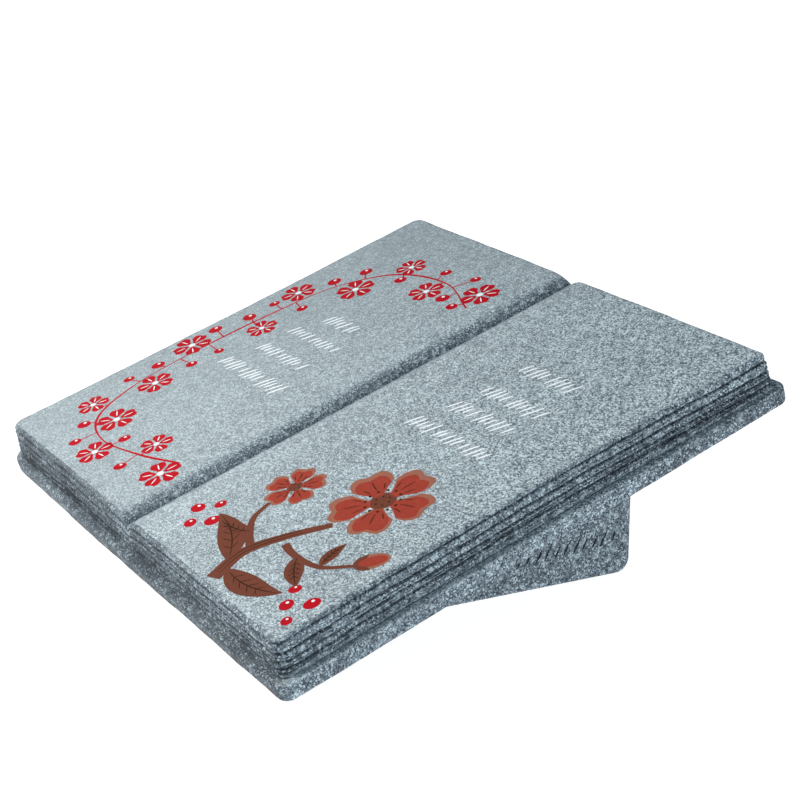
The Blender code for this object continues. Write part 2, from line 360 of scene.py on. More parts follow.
def page_rings():
    """Rings of the page block from its foot up to the edge of the flat pages, and a tone for each point.

    A ring stays at one share between two carved lines, so that the lines follow the rings. Each bundle of
    leaves bulges by a half sine to a power, stands a step further out than the one above, and carries fine
    lines that come and go. The tone is painted shade: below 0 in a cut and in the fine lines, above 0 on a
    bundle's crown and at the top edge, where it lessens the shade, and less the painted shade round the
    block.
    """
    base = outline(PAGES_SIDE_INSET, PAGES_FRONT_INSET, PAGES_BACK_INSET, PAGES_CORNERS, SIDE_BOW)
    normal = outward(base)
    share = round_share(base)
    facing_front = np.clip(-normal[:, 1], 0.0, 1.0)
    base = base + normal * waves(share, 3, (9, 21, 47, 83), (0.10, 0.06, 0.05, 0.03))[:, None]
    base -= BLOCK_INSET * normal
    lines = line_depths(base, share)
    corner = 2.0 * np.abs(normal[:, 0] * normal[:, 1])
    near_front = smooth(0.45, 0.05, base[:, 1] / COVER_DEPTH) * np.abs(normal[:, 0])
    cut_scale = 1.0 - FRONT_LINE_SHARE * facing_front
    cut_scale *= 1.0 + CORNER_CUT_GAIN * corner
    cut_scale *= 1.0 - NEAR_FRONT_EASE * near_front
    # Painted shade round the block, as a function of depth.
    shade = block_painted_shade(base, normal, share)
    top = page_top(base[:, 0])
    foot = COVER_THICKNESS - PAGES_SINK
    edges = np.vstack([np.full(ROUND, PAGES_TOP_RADIUS), lines, np.full(ROUND, PAGES_THICKNESS)])
    rings = []
    tones = []

    def add(depth, out, tone):
        height = foot + (top - foot) * (1.0 - depth / PAGES_THICKNESS)
        flare = FRONT_FLARE * facing_front * depth / PAGES_THICKNESS
        place = base + normal * (out + flare)[:, None]
        rings.append(np.column_stack([place, height]))
        tones.append(tone - shade(depth))

    bundles = len(CARVED_LINES) + 1
    cut_depths = [line[5] for line in CARVED_LINES]
    half_widths = [DEEP_HALF_WIDTH if cut > DEEP_CUT else SHALLOW_HALF_WIDTH for cut in cut_depths]
    half_widths = [0.0, *half_widths, 0.0]
    reach = np.concatenate([[0.0], np.cumsum([line[6] for line in CARVED_LINES])])
    for bundle in reversed(range(bundles)):
        start = edges[bundle] + half_widths[bundle]
        end = edges[bundle + 1] - half_widths[bundle + 1]
        thick = float(np.mean(end - start))
        swell = BUNDLE_BULGE * min(thick / FULL_BUNDLE, 1.0) * (1.0 + corner)
        count = max(2, round(thick / FINE_RING_STEP))
        for step in reversed(range(count + 1)):
            f = step / count
            fine = waves(share, 100 + 17 * bundle + step, (5, 11, 19, 37), (0.45, 0.35, 0.3, 0.2))
            fine = np.clip(fine + 0.1, 0.0, 1.0) * (step % 2)
            fine *= smooth(0.0, 0.3, f) * smooth(0.0, 0.3, 1.0 - f)
            bulge = swell * max(math.sin(math.pi * f), 0.0) ** 0.7
            out = reach[bundle] + bulge - FINE_LINE_DEPTH * fine * cut_scale
            # Painted shade: the crown lessens it, and each fine line carries a little.
            crown = CROWN_TONE * math.sin(math.pi * f)
            add(start + (end - start) * f, out, crown - 0.5 * fine)
        if bundle == 0:
            continue
        depth = lines[bundle - 1]
        cut = cut_depths[bundle - 1] * cut_scale
        if cut_depths[bundle - 1] > DEEP_CUT:
            gate = 1.0 + waves(share, 50 + bundle, (7, 17, 43, 71), (0.16, 0.12, 0.12, 0.10))
            cut *= np.clip(gate, 0.3, 1.5)
        else:
            gate = 0.75 + waves(share, 50 + bundle, (4, 9, 17, 31), (0.5, 0.45, 0.3, 0.2))
            cut *= np.clip(gate, 0.0, 1.4)
        for side, fall in ((0.5, 0.62), (0.0, 1.0), (-0.5, 0.62)):
            step_out = reach[bundle - 1] + (reach[bundle] - reach[bundle - 1]) * (0.5 + side)
            # Painted shade in the cut, darkest at its middle.
            tone = -fall * np.clip(cut / 0.55, 0.0, 1.3)
            add(depth + side * half_widths[bundle], step_out - cut * fall, tone)
    # The top edge's rounding has a tone above 0, which lessens the painted shade there.
    for angle in QUARTER[1:]:
        sink = np.full(ROUND, PAGES_TOP_RADIUS * (1.0 - math.sin(angle)))
        inwards = np.full(ROUND, PAGES_TOP_RADIUS * (1.0 - math.cos(angle)))
        add(sink, -inwards, np.full(ROUND, PAGE_EDGE_TONE * math.cos(angle)))
    return rings, tones


def cover_rings():
    """Rings from the cover's underside round its edge and in to the ledge beside the pages.

    The edge wavers by tenths of a millimetre, always inwards, and the front recedes towards its corners.
    Its two roundings are quarter circles, crisper along the sides. The tone is lower on the front, most on
    its right, and on the sides towards the back: painted shade. Up the edge and on the ledge it is a little
    above 0, which lessens the painted shade there.
    """
    plain = outline(0.0, 0.0, 0.0, COVER_CORNERS)
    share = round_share(plain)
    normal = outward(plain)
    facing_front = np.clip(-normal[:, 1], 0.0, 1.0)
    wobble = waves(share, 7, (6, 15, 33, 70), (0.10, 0.07, 0.05, 0.03)) - 0.25
    wobble -= 0.45 * facing_front * (plain[:, 0] / (COVER_WIDTH / 2)) ** 2
    crisp = 1.0 - SIDE_CRISPNESS * normal[:, 0] ** 2
    # Painted shade on the cover's front, most on its right, and on its sides towards the back.
    to_right = smooth(-70.0, 10.0, plain[:, 0])
    to_back = smooth(0.45, 0.95, plain[:, 1] / COVER_DEPTH)
    shade = (COVER_FRONT_PAINTED_SHADE + COVER_RIGHT_GAIN * to_right) * facing_front
    shade += COVER_BACK_PAINTED_SHADE * normal[:, 0] ** 2 * to_back
    low = COVER_BOTTOM_RADIUS * crisp
    high = COVER_TOP_RADIUS * crisp
    rings = []
    tones = []

    def add(inset, height, tone):
        ring = plain + normal * (wobble - inset)[:, None]
        rings.append(np.column_stack([ring, height]))
        tones.append(tone - shade)

    for angle in QUARTER:
        add(low * (1 - math.sin(angle)), low * (1 - math.cos(angle)), 0.0)
    # Up the edge and on the ledge the tone is a little above 0, which lessens the painted shade.
    for f in (0.33, 0.67):
        add(0.0, low + f * (COVER_THICKNESS - low - high), COVER_EDGE_TONE)
    for angle in QUARTER:
        add(high * (1 - math.cos(angle)), COVER_THICKNESS - high * (1 - math.sin(angle)), COVER_EDGE_TONE)
    for inset in (0.6, 1.9):
        add(high + inset, np.full(ROUND, COVER_THICKNESS), COVER_EDGE_TONE)
    return rings, tones


def book_shell():
    """The cover and page block as one closed surface of rings, with a flat underside and gridded pages.

    On the pages the tone falls below 0 in the gutter, a painted shade, in an S-curve of its depth.
    """
    cover, cover_tones = cover_rings()
    pages, page_tones = page_rings()
    rings = np.array(cover + pages)
    last = rings[-1]
    inner, top_faces = cap_grid(last[:, :2], (len(rings) - 1) * ROUND)
    flat = np.column_stack([inner, page_top(inner[:, 0])])
    points = np.vstack([rings.reshape(-1, 3), flat])
    # Painted shade in the gutter.
    gutter_painted_shade = -GUTTER_PAINTED_SHADE * smooth(0.3, 1.6, gutter_depth(inner[:, 0]))
    tones = np.concatenate([np.ravel(cover_tones + page_tones), gutter_painted_shade])
    faces = [list(range(ROUND))[::-1]]
    faces += band_faces(len(rings), ROUND).tolist()
    faces += top_faces.tolist()
    return mesh_piece("book_casting", standing(points), faces), tones


def foot_profile(inset):
    """The foot's outline seen from its right, inset all round: (along, height), counterclockwise.

    Its upper edge lies inside the cover. The two lower corners are arcs round fixed centres.
    """
    turn = math.pi / 2 + FOOT_BACK_LEAN
    lean = math.tan(FOOT_BACK_LEAN)
    rise = math.tan(TILT)
    top = COVER_THICKNESS / 2 / math.cos(TILT) - SET_DOWN - inset
    back = FOOT_BACK - inset / math.cos(FOOT_BACK_LEAN)
    front = FOOT_FRONT + inset
    top_back = (back - lean * top) / (1.0 + lean * rise)

    def arc(centre, radius, start, sweep, steps):
        angles = start + np.linspace(0.0, sweep, steps + 1)
        arms = np.column_stack([np.cos(angles), np.sin(angles)])
        return np.array(centre) + max(radius - inset, LEAST_RADIUS) * arms

    inner = FOOT_FRONT_RADIUS + max(inset - FOOT_FRONT_RADIUS + LEAST_RADIUS, 0.0)
    lower_front = arc((FOOT_FRONT + inner, inner), FOOT_FRONT_RADIUS, math.pi, math.pi / 2, 4)
    back_centre = (FOOT_BACK - FOOT_CORNER_RADIUS * math.tan(turn / 2), FOOT_CORNER_RADIUS)
    lower_back = arc(back_centre, FOOT_CORNER_RADIUS, -math.pi / 2, turn, 10)
    upper_back = (top_back, top_back * rise + top)
    upper_front = (front, front * rise + top)
    underside = np.linspace(lower_front[-1], lower_back[0], 44)[1:-1]
    rear = np.linspace(lower_back[-1], upper_back, 18)[1:]
    return np.vstack([lower_front, underside, lower_back, rear, [upper_front]])


def foot_shell():
    """The foot: its side outline carried across its width, inset along a quarter circle at both sides.

    Two rings inset further keep the faces small near the edges.
    """
    wall = [(FOOT_HALF_WIDTH, FOOT_SIDE_RADIUS + step) for step in (2.4, 0.7)]
    for angle in QUARTER:
        across = FOOT_HALF_WIDTH - FOOT_SIDE_RADIUS * (1 - math.cos(angle))
        wall.append((across, FOOT_SIDE_RADIUS * (1 - math.sin(angle))))
    middle = [(x, 0.0) for x in np.linspace(wall[-1][0], -wall[-1][0], 34)[1:-1]]
    stations = wall + middle + [(-x, inset) for x, inset in wall[::-1]]
    rings = []
    for x, inset in stations:
        profile = foot_profile(inset)
        rings.append(np.column_stack([np.full(len(profile), x), profile]))
    count = len(rings[0])
    last = (len(rings) - 1) * count
    faces = [list(range(count)), [last + i for i in range(count)][::-1]]
    faces += band_faces(len(rings), count)[:, ::-1].tolist()
    return mesh_piece("foot_wedge", on_ground(np.vstack(rings)), faces)


def foot_cuts():
    """Cutters for the foot's side: a row of spindles, bowed to either side in turn by a parabola.

    Each is an ellipse that swells and tapers by a half circle.
    """
    shapes = []
    faces = []
    turns = np.linspace(0.0, 2.0 * math.pi, 13)[:-1]
    along_cut = np.linspace(-1.0, 1.0, 11)[:, None]
    swell = 0.04 + 0.96 * np.sqrt(np.clip(1.0 - along_cut**2, 0.0, 1.0))
    for number in range(CUT_COUNT):
        share = number / (CUT_COUNT - 1)
        half = CUT_LENGTHS[number % len(CUT_LENGTHS)] / 2
        x = FOOT_HALF_WIDTH + CUT_DEPTH * swell * np.cos(turns)
        across = CUT_HALF_WIDTH * swell * np.sin(turns) + CUT_BOW * (1.0 - along_cut**2) * (-1.0) ** number
        up = np.broadcast_to(half * along_cut, across.shape)
        along = CUT_FIRST[0] + share * (CUT_LAST[0] - CUT_FIRST[0])
        height = CUT_FIRST[1] + share * (CUT_LAST[1] - CUT_FIRST[1])
        y = along + across * math.cos(CUT_SLANT) + up * math.sin(CUT_SLANT)
        z = height - across * math.sin(CUT_SLANT) + up * math.cos(CUT_SLANT)
        first = number * x.size
        shapes.append(np.stack([x, y, z], axis=-1).reshape(-1, 3))
        faces += (band_faces(*x.shape) + first).tolist()
        last = first + x.size - x.shape[1]
        faces.append([first + i for i in range(x.shape[1])][::-1])
        faces.append([last + i for i in range(x.shape[1])])
    return mesh_piece("foot_cuts", on_ground(np.vstack(shapes)), faces)


def combine(base, other, operation):
    """Joins other onto base, or cuts it out, and takes other away."""
    modifier = base.modifiers.new("combine", "BOOLEAN")
    modifier.operation = operation
    modifier.solver = "MANIFOLD"
    modifier.object = other
    graph = bpy.context.evaluated_depsgraph_get()
    base.data = bpy.data.meshes.new_from_object(base.evaluated_get(graph))
    base.modifiers.clear()
    bpy.data.objects.remove(other)


def store(mesh, name, values):
    """Stores a number for each vertex, for the stone to read."""
    layer = mesh.attributes.get(name) or mesh.attributes.new(name, "FLOAT", "POINT")
    layer.data.foreach_set("value", np.asarray(values, np.float32))


def foot_tones(values, across, along, height, above):
    """Lowers the tone on the foot, a painted shade, and in its row of cuts the more, the deeper a vertex
    lies.
    """
    cuts = (np.abs(across - FOOT_HALF_WIDTH) < CUT_DEPTH + 0.05) & (height > 5.0) & (height < 20.0)
    cuts &= (along > CUT_FIRST[0] - SET_BACK - 4.0) & (along < CUT_LAST[0] - SET_BACK + 4.0)
    values[cuts] = -CUT_SHADE * np.clip(3.0 * (FOOT_HALF_WIDTH - across[cuts]) / CUT_DEPTH, 0.0, 1.0)
    # Painted shade on the foot below the cover.
    foot = above < -0.4
    values[foot] = np.minimum(values[foot], -FOOT_PAINTED_SHADE)


def page_values(across, along, height, above):
    """1 on the open pages, falling to 0 at their edges and below them, and painted light on the ledge."""
    up = (along + SET_BACK) * math.cos(TILT) + (height + SET_DOWN) * math.sin(TILT)
    side_edge = COVER_WIDTH / 2 - PAGES_SIDE_INSET - SIDE_BOW * np.sin(math.pi * up / COVER_DEPTH)
    from_end = np.minimum(up - PAGES_FRONT_INSET, COVER_DEPTH - PAGES_BACK_INSET - up)
    from_edge = np.minimum(side_edge - np.abs(across), from_end)
    page = smooth(-1.0, -0.08, above - COVER_THICKNESS - PAGES_THICKNESS) * smooth(0.0, 2.3, from_edge)
    # Painted light: the ledge beside the pages is made paler at the sides and, less so, towards the right.
    ledge = (np.abs(above - COVER_THICKNESS) < 0.25) & (from_edge < -0.2)
    beside = smooth(92.0, 96.0, np.abs(across))
    before = 0.35 * smooth(0.0, 60.0, across)
    page[ledge] = LEDGE_PAINTED_LIGHT * np.maximum(beside, before)[ledge]
    return page


def casting():
    """The whole casting in one closed mesh: book and foot joined, and the row of cuts taken out."""
    piece, tones = book_shell()
    store(piece.data, "tone", tones)
    combine(piece, foot_shell(), "UNION")
    combine(piece, foot_cuts(), "DIFFERENCE")
    mesh = piece.data
    points = np.empty(len(mesh.vertices) * 3)
    mesh.vertices.foreach_get("co", points)
    across, along, height = points.reshape(-1, 3).T / MM
    values = np.empty(len(mesh.vertices), np.float32)
    mesh.attributes["tone"].data.foreach_get("value", values)
    above = (height + SET_DOWN) * math.cos(TILT) - (along + SET_BACK) * math.sin(TILT)
    foot_tones(values, across, along, height, above)
    store(mesh, "tone", values)
    store(mesh, "page", page_values(across, along, height, above))
    mesh.polygons.foreach_set("use_smooth", np.ones(len(mesh.polygons), bool))
    mesh.set_sharp_from_angle(angle=SHARP_ANGLE)
    return piece


# ---- printed films
class Film:
    """Closed slabs of one ink: each follows the page, stands lift above it and is sunk a little into it.

    They take turns at heights a micrometre apart, so that two that cross don't lie in one plane.
    """

    SUNK = 0.06
    LIFT_STEP = 0.0012
    LIFT_COUNT = 6

    def __init__(self, name, lift):
        self.name = name
        self.lift = lift
        self.points = []
        self.faces = []
        self.count = 0

    def add(self, *grids):
        """Adds a slab for each grid of page points, an array of rows, columns and (x, y)."""
        for grid in grids:
            rows, columns = grid.shape[:2]
            middle = grid[rows // 2 : rows // 2 + 2, columns // 2 - 1 : columns // 2 + 1]
            du = middle[1, 0] - middle[0, 0]
            dv = middle[0, 1] - middle[0, 0]
            if dv[0] * du[1] - dv[1] * du[0] < 0:
                grid = grid[:, ::-1]
            index = np.arange(rows * columns).reshape(rows, columns)
            flat = grid.reshape(-1, 2)
            surface = page_top(flat[:, 0])
            lift = self.lift + self.LIFT_STEP * (len(self.points) // 2 % self.LIFT_COUNT)
            for level in (lift, -self.SUNK):
                self.points.append(np.column_stack([flat, surface + level]))
            rim = np.concatenate([index[0, :-1], index[:-1, -1], index[-1, :0:-1], index[:0:-1, 0]])
            ahead = np.roll(rim, -1)
            below = rows * columns
            sides = np.column_stack([rim + below, ahead + below, ahead, rim])
            for faces in (grid_faces(index), grid_faces(index)[:, ::-1] + below, sides):
                self.faces.append(faces + self.count)
            self.count += 2 * rows * columns

    def piece(self, material, slot):
        piece = mesh_piece(self.name, standing(np.vstack(self.points)), np.vstack(self.faces).tolist())
        piece.data.materials.append(material)
        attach(piece, "root")
        return piece


def spline(points, steps):
    """A smooth curve through the points (Catmull-Rom), steps pieces between each two of them."""
    points = np.asarray(points, float)
    padded = np.vstack([2 * points[0] - points[1], points, 2 * points[-1] - points[-2]])
    t = np.linspace(0.0, 1.0, steps, endpoint=False)[:, None]
    parts = []
    for a, b, c, d in zip(padded, padded[1:], padded[2:], padded[3:]):
        square = 2 * a - 5 * b + 4 * c - d
        cube = 3 * b - a - 3 * c + d
        parts.append(0.5 * (2 * b + (c - a) * t + square * t**2 + cube * t**3))
    return np.vstack(parts + [points[-1:]])


def turned(grid, angle):
    """An array of (x, y) points, turned counterclockwise about the origin."""
    x, y = grid[..., 0], grid[..., 1]
    cos, sin = math.cos(angle), math.sin(angle)
    return np.stack([x * cos - y * sin, x * sin + y * cos], axis=-1)


def polar(angle, radius):
    """The point at this angle and distance from the origin."""
    return radius * np.array([math.cos(angle), math.sin(angle)])


def ribbon(path, widths):
    """A band along a path: each path point moved half the width to both sides, across its direction."""
    path = np.asarray(path, float)
    direction = np.gradient(path, axis=0)
    direction /= np.linalg.norm(direction, axis=1)[:, None]
    side = np.column_stack([direction[:, 1], -direction[:, 0]])
    half = np.broadcast_to(np.asarray(widths, float) / 2, len(path))[:, None]
    return np.stack([path - side * half, path, path + side * half], axis=1)


def tapered(path, width, least=0.25):
    """A ribbon that is full in its middle and narrows by a half sine to a share of its width at both ends."""
    share = np.linspace(0.0, math.pi, len(path))
    return ribbon(path, width * (least + (1.0 - least) * np.sin(share) ** 0.6))


def disc(centre, radius, squash=1.0, turn=0.0):
    """A round or oval spot: rows across it, each as wide as the circle is there."""
    rows = -np.cos(np.linspace(0.0, math.pi, 11))[:, None]
    width = np.sqrt(np.clip(1.0 - rows**2, 0.0004, 1.0))
    x = rows * radius + np.zeros((1, 5))
    y = width * np.linspace(-1.0, 1.0, 5)[None, :] * radius * squash
    return turned(np.stack([x, y], axis=-1), turn) + centre


def petals(centre, radius, turn, count=5, inner=0.2, notch=0.1, gap=0.1):
    """Petals round a centre in polar form: the reach falls off towards a petal's sides and at its notch."""
    u = np.linspace(0.0, 1.0, 7)[:, None]
    v = np.linspace(-1.0, 1.0, 11)[None, :]
    reach = (1.0 - 0.34 * np.abs(v) ** 2.8) * (1.0 - notch * np.exp(-((v / 0.28) ** 2)))
    distance = radius * (inner + u * (reach - inner))
    spread = math.pi / count * (1.0 - gap) * (0.6 + 0.4 * u**0.7)
    grids = []
    for number in range(count):
        angle = turn + 2.0 * math.pi * number / count + v * spread
        ring = np.stack([distance * np.cos(angle), distance * np.sin(angle)], axis=-1)
        grids.append(ring + centre)
    return grids


def spokes(centre, start, end, turn, count, width, fan=0.0, per_petal=1):
    """Short radial lines: per_petal of them on each petal, fanned out by the angle fan."""
    lines = []
    for number in range(count):
        for line in range(per_petal):
            place = line - (per_petal - 1) / 2
            offset = fan * place
            angle = turn + 2.0 * math.pi * number / count + offset
            shorter = 1.0 - 0.18 * abs(place)
            reach = np.linspace(start, end * shorter, 5)
            bend = angle + 0.25 * offset * (reach / end)
            path = np.column_stack([reach * np.cos(bend), reach * np.sin(bend)]) + centre
            lines.append(tapered(path, width))
    return lines


def leaf(base, angle, length, width, bend=0.0):
    """A pointed leaf and its middle line: the width is a sine drawn towards the base, the line an arc."""
    u = np.linspace(0.0, 1.0, 15)
    path = np.column_stack([u * length, 4.0 * bend * u * (1.0 - u)])
    path = turned(path[:, None], angle)[:, 0] + base
    return ribbon(path, width * (0.03 + np.sin(math.pi * u**0.85) ** 0.9)), path


DASH_WIDTH = 0.78
DASH_SLANT = 70.0
DASHES_TOGETHER = 5
WIDER_GAP = 1.6


def dash_row(film, start, end, low, high, seed):
    """A row of plain slanted dashes from start to end, centred on one line that rises a little.

    Their length varies by a sine and a little at random. A wider gap follows each five.
    """
    rng = np.random.default_rng(seed)
    x = start
    number = 0
    while x < end:
        share = (x - start) / (end - start)
        length = (high - low) * (0.64 + 0.17 * math.sin(1.7 * number + seed) + rng.uniform(-0.04, 0.04))
        foot = low + 0.5 * ((high - low) - length) + 0.4 * share
        slant = math.radians(DASH_SLANT + rng.uniform(-2.0, 2.0))
        t = np.linspace(0.0, 1.0, 7)
        bow = rng.uniform(0.08, 0.16)
        path = np.column_stack([t * length, 4.0 * bow * t * (1.0 - t)])
        path = turned(path[:, None], slant)[:, 0] + (x, foot)
        film.add(tapered(path, DASH_WIDTH, 0.45))
        number += 1
        x += rng.uniform(2.3, 2.6) + (WIDER_GAP if number % DASHES_TOGETHER == 0 else 0.0)


# Rows of dashes are (start, end, low, high), leaves (base, angle, length, width, bend), open blooms (centre,
# radius, turn) and berries (x, y, radius), in millimetres on the page and radians.
DASH_ROWS = (
    (-55.7, -37.6, 107.5, 116.0), (-61.0, -32.0, 96.5, 103.5),
    (-61.0, -31.7, 83.5, 91.0), (-65.0, -25.0, 69.5, 79.0),
    (37.0, 61.0, 125.5, 134.5), (37.0, 65.0, 110.5, 119.5),
    (35.0, 64.0, 99.5, 108.5), (31.0, 71.0, 87.0, 95.5),
)
VINE = (
    (-14.0, 31.0), (-31.0, 25.0), (-53.0, 21.0), (-70.0, 27.0), (-79.0, 46.0), (-81.0, 72.0),
    (-80.0, 100.0), (-76.0, 125.0), (-62.0, 144.0), (-38.0, 150.0), (-15.0, 143.0),
)
BLOSSOM_SHARES = (0.02, 0.105, 0.185, 0.265, 0.34, 0.42, 0.50, 0.58, 0.66, 0.74, 0.815, 0.895, 0.975)
BLOSSOM_RADII = (7.4, 6.0, 6.8)
BLOSSOM_OFFSETS = (6.6, -6.8, 5.4, -7.4)
LEAVES = (
    ((50.0, 15.0), 2.75, 27.0, 8.6, -2.4),
    ((53.5, 13.0), 0.18, 25.0, 8.2, -2.6),
    ((43.0, 27.0), 3.35, 15.0, 5.6, 1.2),
    ((66.0, 29.5), -0.55, 15.0, 5.8, -1.0),
    ((76.0, 31.0), 1.85, 11.0, 4.4, 0.8),
)
OPEN_BLOOMS = (((63.0, 60.0), 17.5, 0.35), ((32.5, 47.5), 10.5, 1.0))
BERRIES = (
    (16.0, 22.5, 2.5), (21.5, 17.0, 2.2), (20.5, 28.0, 2.0), (26.5, 22.0, 2.6),
    (84.0, 15.5, 2.4), (89.5, 20.5, 2.6), (79.5, 20.8, 2.0), (90.5, 11.8, 1.9),
)
LEAST_STALK = 0.3


def left_page(crimson, white):
    """A flowering vine round the page's outer margin, with blossoms to both sides and berries between them.

    A blossom that reaches the vine has no stalk, and a berry too near another part is left out.
    """
    rng = np.random.default_rng(21)
    path = spline(VINE, 14)
    crimson.add(ribbon(path, 0.75 + 0.25 * np.sin(np.linspace(0, 25, len(path)))))
    direction = np.gradient(path, axis=0)
    direction /= np.linalg.norm(direction, axis=1)[:, None]
    side = np.column_stack([-direction[:, 1], direction[:, 0]])
    taken = []
    for number, share in enumerate(BLOSSOM_SHARES):
        at = int(share * (len(path) - 1))
        radius = BLOSSOM_RADII[number % len(BLOSSOM_RADII)]
        offset = BLOSSOM_OFFSETS[number % len(BLOSSOM_OFFSETS)]
        centre = path[at] + side[at] * offset
        turn = rng.uniform(0.0, 2.0)
        taken.append((centre, radius))
        crimson.add(*petals(centre, radius, turn))
        stalk_length = abs(offset) - radius * 0.9
        if stalk_length > LEAST_STALK:
            stalk_end = path[at] + side[at] * math.copysign(stalk_length, offset)
            crimson.add(tapered(np.linspace(path[at], stalk_end, 4), 0.6, 0.8))
        white.add(*spokes(centre, 0.34 * radius, 0.8 * radius, turn, 5, 0.42))
        white.add(disc(centre, 0.15 * radius))
    for number, at in enumerate(range(3, len(path) - 2, 3)):
        size = rng.uniform(1.9, 2.7)
        reach = (-1.0) ** number * rng.uniform(3.8, 8.6)
        spot = path[at] + side[at] * reach + direction[at] * rng.uniform(-1.5, 1.5)
        if any(np.linalg.norm(spot - centre) < radius + size + 0.7 for centre, radius in taken):
            continue
        taken.append((spot, size))
        crimson.add(disc(spot, size, 0.9, rng.uniform(0.0, 2.0)))
        stalk_end = spot - side[at] * math.copysign(size * 0.8, reach)
        crimson.add(tapered(np.linspace(path[at], stalk_end, 4), 0.5, 0.8))
        white.add(disc(spot + (-0.3 * size, 0.3 * size), 0.22 * size))


def veined_leaf(brown, dark, base, angle, length, width, bend):
    """A leaf with its midrib and four pairs of veins, longer where the leaf is wider."""
    blade, midline = leaf(base, angle, length, width, bend)
    brown.add(blade)
    dark.add(tapered(midline[1:-1], 0.42))
    for share in (0.28, 0.42, 0.56, 0.7):
        at = int(share * (len(midline) - 1))
        reach = 0.36 * width * math.sin(math.pi * share**0.85)
        for turn in (0.75, -0.75):
            tip = midline[at] + polar(angle + turn, 1.25 * reach)
            dark.add(tapered(np.linspace(midline[at], tip, 4), 0.3))


def open_bloom(bloom, rim, brown, dark, centre, radius, turn):
    """Five paler-rimmed petals with three dark lines each, and a brown middle with two rings of dots."""
    centre = np.array(centre)
    inner_centre = centre + (0.03 * radius, -0.02 * radius)
    rim.add(*petals(centre, radius, turn, gap=0.05, notch=0.13))
    bloom.add(*petals(inner_centre, 0.88 * radius, turn, gap=0.13, notch=0.13, inner=0.24))
    dark.add(*spokes(centre, 0.36 * radius, 0.68 * radius, turn, 5, 0.36, fan=0.3, per_petal=3))
    brown.add(disc(centre, 0.24 * radius))
    for number in range(12):
        angle = 2.0 * math.pi * number / 12 + 0.2
        dark.add(disc(centre + polar(angle, 0.31 * radius), 0.028 * radius))
        if number < 6:
            dark.add(disc(centre + polar(angle * 2, 0.13 * radius), 0.02 * radius))


def right_page(crimson, white, bloom, rim, brown, dark):
    """Two open blooms and a bud on curved stems that rise near the page's front edge, leaves and berries."""
    main = spline([(54.0, 8.0), (50.0, 20.0), (54.0, 32.0), (61.0, 44.0)], 10)
    left = spline([(51.0, 22.0), (43.0, 26.0), (36.5, 31.0), (33.5, 38.0)], 8)
    right = spline([(53.5, 31.0), (64.0, 29.0), (76.0, 30.5), (84.0, 37.0)], 8)
    brown.add(ribbon(main, np.linspace(5.2, 2.6, len(main))))
    brown.add(ribbon(left[2:], np.linspace(2.8, 1.5, len(left) - 2)))
    brown.add(ribbon(right[3:], np.linspace(2.6, 1.3, len(right) - 3)))
    for offset in (-0.9, 0.5):
        dark.add(tapered(main[2:-6] + (offset, 0.0), 0.32))
    for blade in LEAVES:
        veined_leaf(brown, dark, *blade)
    for flower in OPEN_BLOOMS:
        open_bloom(bloom, rim, brown, dark, *flower)
    rim.add(disc((86.5, 41.5), 5.4, 0.66, 1.0))
    bloom.add(disc((86.8, 41.9), 4.2, 0.55, 1.0))
    for angle in (0.35, 1.75):
        brown.add(leaf((84.0, 37.0), angle, 6.0, 2.4)[0])
    for x, y, size in BERRIES:
        crimson.add(disc((x, y), size, 0.9, x))
        white.add(disc((x - 0.3 * size, y + 0.3 * size), 0.2 * size))


# ---- materials
class Value:
    """A shader socket in a Python expression: + - * add Math nodes behind it, and ramp() a smooth step."""

    def __init__(self, shader, socket):
        self.shader = shader
        self.socket = socket

    def math(self, operation, first, second):
        return self.shader.node("Math", {"operation": operation}, {0: first, 1: second})

    def __add__(self, other):
        return self.math("ADD", self, other)

    def __sub__(self, other):
        return self.math("SUBTRACT", self, other)

    def __rsub__(self, other):
        return self.math("SUBTRACT", other, self)

    def __mul__(self, other):
        return self.math("MULTIPLY", self, other)

    __radd__ = __add__

    def ramp(self, low, high):
        limits = {"Value": self, "From Min": low, "From Max": high}
        return self.shader.node("MapRange", {"interpolation_type": "SMOOTHSTEP"}, limits)


